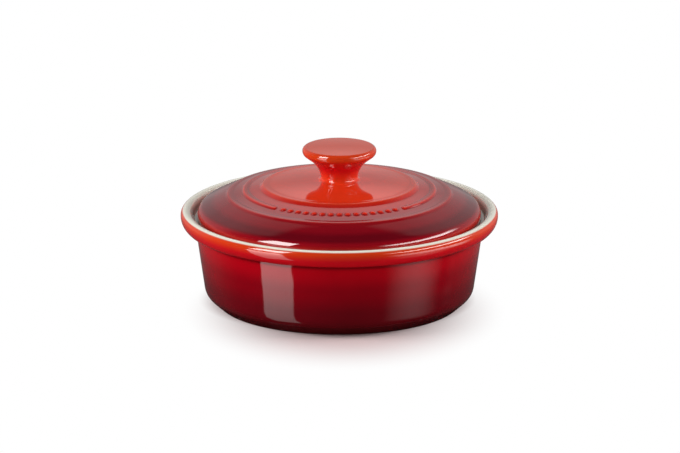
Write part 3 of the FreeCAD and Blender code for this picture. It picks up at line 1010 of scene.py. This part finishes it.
def make_floor(size):
    """A plain white floor that keeps the shadow, and that glaze reflects as a dark polished one."""
    bpy.ops.mesh.primitive_plane_add(size=size)
    floor = bpy.context.object
    floor.name = "floor"
    material, tree, surface = new_material("floor")
    paths = tree.nodes.new("ShaderNodeLightPath").outputs
    place, radius, _ = read_place(tree)
    polished = add_node(tree, "ShaderNodeBsdfPrincipled", Base_Color=opaque(DARK), **POLISH)
    # Painted shade in the gloss: near the dish the floor mirrors less, as if it lay in the dish's
    # shadow
    gloss_shade = add_node(tree, "ShaderNodeBsdfDiffuse", Color=opaque(DARK))
    gloss_shade_share = product(tree, spread(tree, radius, GLOSS_SHADE_REACH, GLOSS_SHADE_CORE), GLOSS_SHADE)
    mirror = mix_shaders(tree, gloss_shade_share, polished, gloss_shade)
    moved = add_node(
        tree, "ShaderNodeMapping", Vector=place, Location=SHADOW_SHIFT, Scale=SHADOW_STRETCH
    ).outputs["Vector"]
    from_shadow = add_node(tree, "ShaderNodeVectorMath", operation="LENGTH", Vector=moved)
    cast = spread(tree, from_shadow.outputs["Value"], SHADOW_REACH, SHADOW_CORE)
    contact = spread(tree, radius, CONTACT_REACH, CONTACT_CORE)
    near = calculate(tree, "MAXIMUM", cast, contact)
    # Painted shadow: near the dish the floor's colour falls to a pink tint, so it is darker there
    # even in full light, and far from it the floor glows white
    shade = blend_colours(tree, near, BLACK, opaque(SHADOW_TINT))
    shaded = add_node(tree, "ShaderNodeBsdfDiffuse", Color=shade)
    lit = calculate(tree, "SUBTRACT", 1, near)
    glow = add_node(tree, "ShaderNodeEmission", Color=WHITE, Strength=lit)
    seen = tree.nodes.new("ShaderNodeAddShader")
    for socket, shader in zip(seen.inputs, (shaded, glow)):
        tree.links.new(shader.outputs[0], socket)
    pale = add_node(tree, "ShaderNodeBsdfDiffuse", Color=opaque(PALE))
    unseen = mix_shaders(tree, paths["Is Glossy Ray"], pale, mirror)
    either = mix_shaders(tree, paths["Is Camera Ray"], unseen, seen)
    tree.links.new(either.outputs[0], surface)
    floor.data.materials.append(material)


def softbox(tree, axes, box):
    """How bright a softbox is in a direction, and nought beside it."""
    turn = math.radians(box.azimuth)
    x, y, z = (axes[name] for name in "XYZ")
    ahead = total(tree, product(tree, x, -math.sin(turn)), product(tree, y, -math.cos(turn)))
    aside = total(tree, product(tree, x, -math.cos(turn)), product(tree, y, math.sin(turn)))
    off_middle = calculate(tree, "ABSOLUTE", calculate(tree, "DIVIDE", aside, ahead))
    wide, narrow = (math.tan(math.radians(width)) for width in (box.wide, box.narrow))
    return product(
        tree,
        spread(tree, off_middle, wide, narrow),
        spread(tree, ahead, 0, SIDE_FADE),
        spread(tree, z, box.foot_gone, box.foot_full),
        spread(tree, z, box.top_gone, box.top_full),
        box.level,
    )


def make_world():
    """White to the camera, a soft even fill for the surfaces, and softboxes in the gloss.

    What the baker mirrors at once is a pale backdrop and two softboxes that start above the
    horizon. By way of the polished floor it mirrors them at their full height, and a soft panel.
    """
    world = bpy.data.worlds.new("studio")
    bpy.context.scene.world = world
    tree, surface = start_nodes(world, "ShaderNodeOutputWorld")
    paths = tree.nodes.new("ShaderNodeLightPath").outputs
    way = tree.nodes.new("ShaderNodeTexCoord").outputs["Generated"]
    axes = add_node(tree, "ShaderNodeSeparateXYZ", Vector=way).outputs
    sideways = calculate(tree, "ABSOLUTE", axes["X"])
    behind = spread(tree, axes["Y"], *BEHIND)
    fades = [
        product(tree, spread(tree, axes["Z"], gone, full), share) for gone, full, share in BACKDROP
    ]
    wall = product(tree, behind, total(tree, *fades), BACKDROP_LEVEL)
    back_box = product(
        tree,
        spread(tree, axes["Z"], *BACK_BOX_FOOT),
        spread(tree, axes["Z"], *BACK_BOX_TOP),
        spread(tree, sideways, *BACK_BOX_WIDTH),
        behind,
        BACK_BOX_LEVEL,
    )
    backdrop = total(tree, wall, back_box)
    at_once, later = (
        total(tree, backdrop, *(softbox(tree, axes, box) for box in boxes))
        for boxes in ((LOW_STRIP, LOW_STREAK), (STRIP, STREAK, PANEL))
    )
    first = calculate(tree, "LESS_THAN", paths["Glossy Depth"], FIRST_BOUNCE)
    after = calculate(tree, "SUBTRACT", 1, first)
    gloss = total(tree, product(tree, at_once, first), product(tree, later, after))
    fill, mirrored, white = (
        add_node(tree, "ShaderNodeBackground", Color=WHITE, Strength=level)
        for level in (FILL_LEVEL, gloss, 1)
    )
    unseen = mix_shaders(tree, paths["Is Glossy Ray"], fill, mirrored)
    either = mix_shaders(tree, paths["Is Camera Ray"], unseen, white)
    tree.links.new(either.outputs[0], surface)


def make_camera(settings):
    """A long lens at the photograph's angle."""
    target = Vector((settings.look_across, 0, settings.look_height))
    back = toward(0, math.degrees(settings.camera_elevation), settings.camera_distance)
    bpy.ops.object.camera_add(location=target + back)
    camera = bpy.context.object
    camera.name = "camera"
    camera.rotation_euler = (-back).to_track_quat("-Z", "Y").to_euler()
    camera.data.lens = settings.camera_lens
    camera.data.sensor_fit = "HORIZONTAL"
    bpy.context.scene.camera = camera


class BAKER_OT_stage(bpy.types.Operator):
    """Lay the floor, hang the lamps and set the camera"""

    bl_idname = "baker.stage"
    bl_label = "Stage"
    bl_options = {"REGISTER", "UNDO"}

    def execute(self, context):
        settings = context.scene.baker_stage
        make_floor(settings.floor_size)
        make_world()
        for name, lamp in FILLS.items():
            add_lamp(name, *lamp)
        make_camera(settings)
        context.scene.view_settings.view_transform = "Standard"
        return {"FINISHED"}


class BAKER_PT_panel(bpy.types.Panel):
    """The baker's pieces and their sizes"""

    bl_label = "Camembert baker"
    bl_idname = "BAKER_PT_panel"
    bl_space_type = "VIEW_3D"
    bl_region_type = "UI"
    bl_category = "Baker"

    def draw(self, context):
        for group in GROUPS:
            box = self.layout.box()
            if group in OPERATORS:
                box.operator(OPERATORS[group].bl_idname)
            settings = getattr(context.scene, group)
            for name in settings.__annotations__:
                box.prop(settings, name)


GROUPS = {
    "baker_dish": DishSizes,
    "baker_lid": LidSizes,
    "baker_knob": KnobSizes,
    "baker_colours": GlazeColours,
    "baker_stage": StageSettings,
}
OPERATORS = {
    "baker_dish": BAKER_OT_dish,
    "baker_lid": BAKER_OT_lid,
    "baker_stage": BAKER_OT_stage,
}
CLASSES = (*GROUPS.values(), *OPERATORS.values(), BAKER_PT_panel)


def register():
    """Register the classes and give the scene their settings."""
    for kind in CLASSES:
        bpy.utils.register_class(kind)
    for name, kind in GROUPS.items():
        setattr(bpy.types.Scene, name, bpy.props.PointerProperty(type=kind))


def unregister():
    """Take the settings and the classes away again."""
    for name in GROUPS:
        delattr(bpy.types.Scene, name)
    for kind in reversed(CLASSES):
        bpy.utils.unregister_class(kind)


def main():
    """Build the baker and its stage, and write down both boxes."""
    register()
    bpy.ops.baker.dish()
    bpy.ops.baker.lid()
    bpy.ops.baker.stage()


if __name__ == "__main__":
    main()
